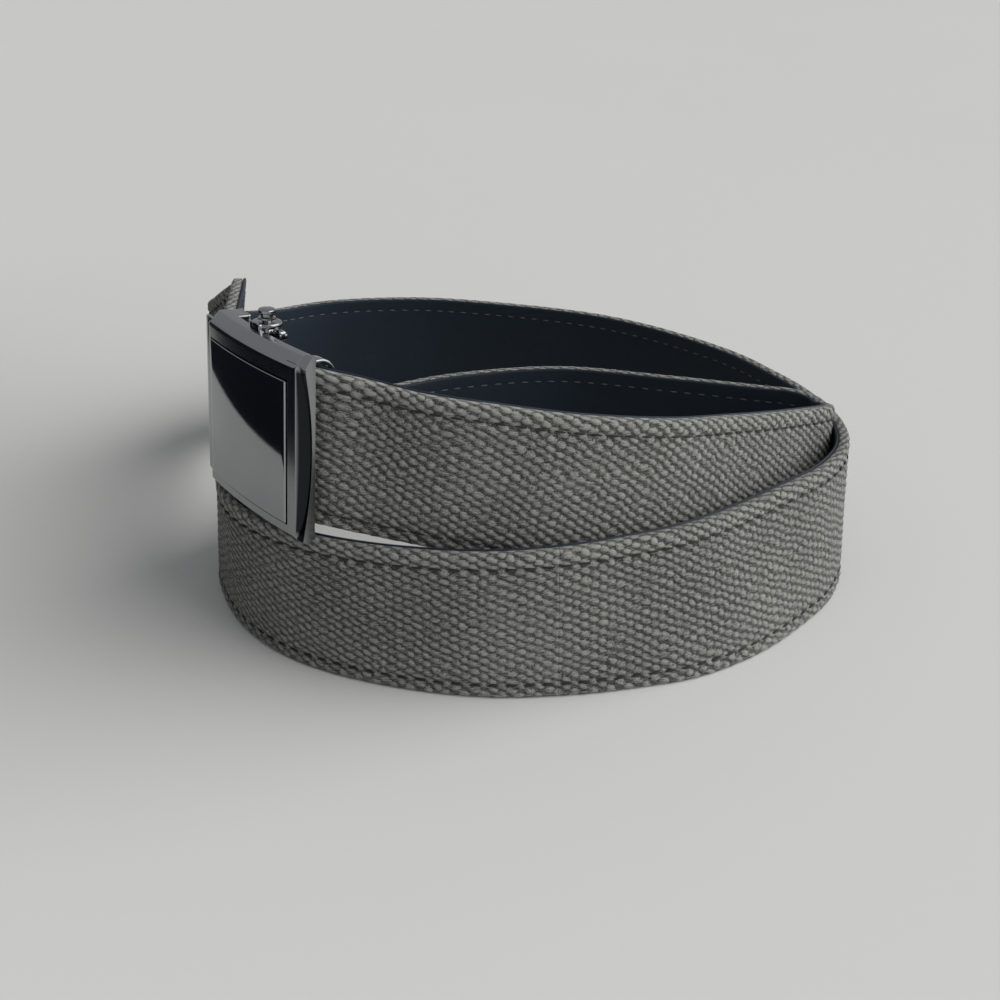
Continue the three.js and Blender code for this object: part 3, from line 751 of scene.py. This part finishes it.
upright(bm, [(1.1, earLow), (ear - 0.3, earLow), (ear - 0.08, earLow + 0.1), (ear, earLow + 0.3),
             (ear, earHigh - 0.35), (ear - 0.1, earHigh - 0.1), (ear - 0.35, earHigh), (2.3, earHigh),
             (2.15, earHigh - 0.12), (1.1, earHigh - 0.12), (1.1, earLow)])
meshObject("buckleFrame", bm, gunmetal, "belt", ("buckle_frame",), sharp=32)

bm = bmesh.new()
border = shell["border"]
arcBlock(bm, farEnd + border["far"] + plate["gap"], nearEnd - border["near"] - plate["gap"],
         -plate["proud"], plate["back"], border["bottom"] + plate["gap"],
         top - border["top"] - plate["gap"], 0.3, 4, 0.9)
meshObject("facePlate", bm, mirrorGunmetal, "belt", ("face_plate",), sharp=40)

bm = bmesh.new()
leverLow = buckle["strapSeat"] + strap["width"] + 3 * strap["gap"]
pinHead = [(1.0, 0.35), (1.65, 0.35), (1.9, 0.5), (1.9, 0.75), (1.6, 0.95), (1.35, 1.05), (1.35, 1.65),
           (1.6, 1.72), (1.9, 1.95), (1.9, 2.4), (1.6, 2.7), (1.0, 2.8), (0, 2.8)]  # above the ear
pinFoot = [(0, leverLow), (0.85, leverLow), (1.0, leverLow + 0.15)]
upright(bm, pinFoot + [(r, earHigh + h) for r, h in pinHead])
meshObject("pivotPin", bm, gunmetal, "belt", ("pivot_pin",), sharp=40)

bm = bmesh.new()
lever = {"half": 1.2, "tab": 4.6, "armHigh": 1.4, "fromTop": 0.6, "thick": 1.1, "reach": 7.5, "pawlHalf": 3.2,
         "pawlFrom": 6.3}
leverHigh = earLow - strap["gap"]
upright(bm, [(1.1, leverLow), (1.4, leverLow), (1.5, leverLow + 0.12), (1.5, leverHigh - 0.12),
             (1.4, leverHigh), (1.1, leverHigh), (1.1, leverLow)])
armHigh = leverHigh - lever["fromTop"]
armLow = armHigh - lever["armHigh"]
pawlDepth = buckle["strapDepth"] + strap["thick"] + 0.45 + 0.5 + 0.6 + 0.3  # past the track and its teeth
back = pawlDepth + 0.6 + lever["thick"]
tabDepth = pivot["depth"] + 0.6
half, reach = lever["half"], lever["reach"]
arcBlock(bm, px - half, px + half, pivot["depth"] + 1.15, back, armLow, armHigh, 0.25)
arcBlock(bm, px + 0.6, px + lever["tab"], tabDepth, back - 0.02, armLow + 0.02, armHigh - 0.02, 0.25)
arcBlock(bm, px + 2.4, px + lever["tab"], tabDepth, pivot["depth"] + 2.4, leverLow + 0.4, leverHigh, 0.5, 4)
middle = buckle["strapSeat"] + strap["width"] / 2
low, high = middle - lever["pawlHalf"], middle + lever["pawlHalf"]
arcBlock(bm, px - half, px + half, back - lever["thick"], back + 0.02, low, armHigh - 0.01, 0.25)
arcBlock(bm, px - half - 0.02, px + reach, back - lever["thick"] - 0.02, back + 0.01, low - 0.02, high, 0.25)
arcBlock(bm, px + lever["pawlFrom"], px + reach, pawlDepth, back - 0.4, low + 0.02, high - 0.02, 0.1)
meshObject("releaseLever", bm, gunmetal, "lever", ("release_lever",), sharp=40)

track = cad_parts["ratchet_track"]
track.data.materials.clear()
track.data.materials.append(plasticPaint())
print("buckle ready")

# floor

def stagePiece(name, bm, material):
    data = bpy.data.meshes.new(name)
    bm.to_mesh(data)
    bm.free()
    made = bpy.data.objects.new(name, data)
    scene.collection.objects.link(made)
    data.materials.append(material)
    return made


p = Paint("floor")
wide = p.noise(p.coords(), 3.0, 2.0)
cloth = p.noise(p.coords(), 900.0, 2.0)
p.finish(Base_Color=p.mix(wide, tuple(c * 0.97 for c in studio["floor"]), studio["floor"]), Roughness=0.9,
         Normal=p.bump(cloth, 0.0001, 0.15))
bm = bmesh.new()
bmesh.ops.create_grid(bm, x_segments=1, y_segments=1, size=3.0)
stagePiece("floor", bm, p.material)

# a dark card beyond the picture's left edge, which the polished buckle reflects
card = {"width": 0.30, "height": 0.17, "place": (-0.229, 0.02, 0.085), "turn": 113.6,
        "colour": (0.006, 0.008, 0.013)}
bm = bmesh.new()
bmesh.ops.create_grid(bm, x_segments=1, y_segments=1, size=0.5)
bmesh.ops.rotate(bm, verts=bm.verts, cent=(0, 0, 0), matrix=Matrix.Rotation(math.radians(90), 3, "X"))
bmesh.ops.scale(bm, verts=bm.verts, vec=(card["width"], 1, card["height"]))
cardPaint = Paint("darkCard").finish(Base_Color=card["colour"], Roughness=0.9, Specular_IOR_Level=0.1)
darkCard = stagePiece("darkCard", bm, cardPaint)
darkCard.location = card["place"]
darkCard.rotation_euler = (0, 0, math.radians(card["turn"]))
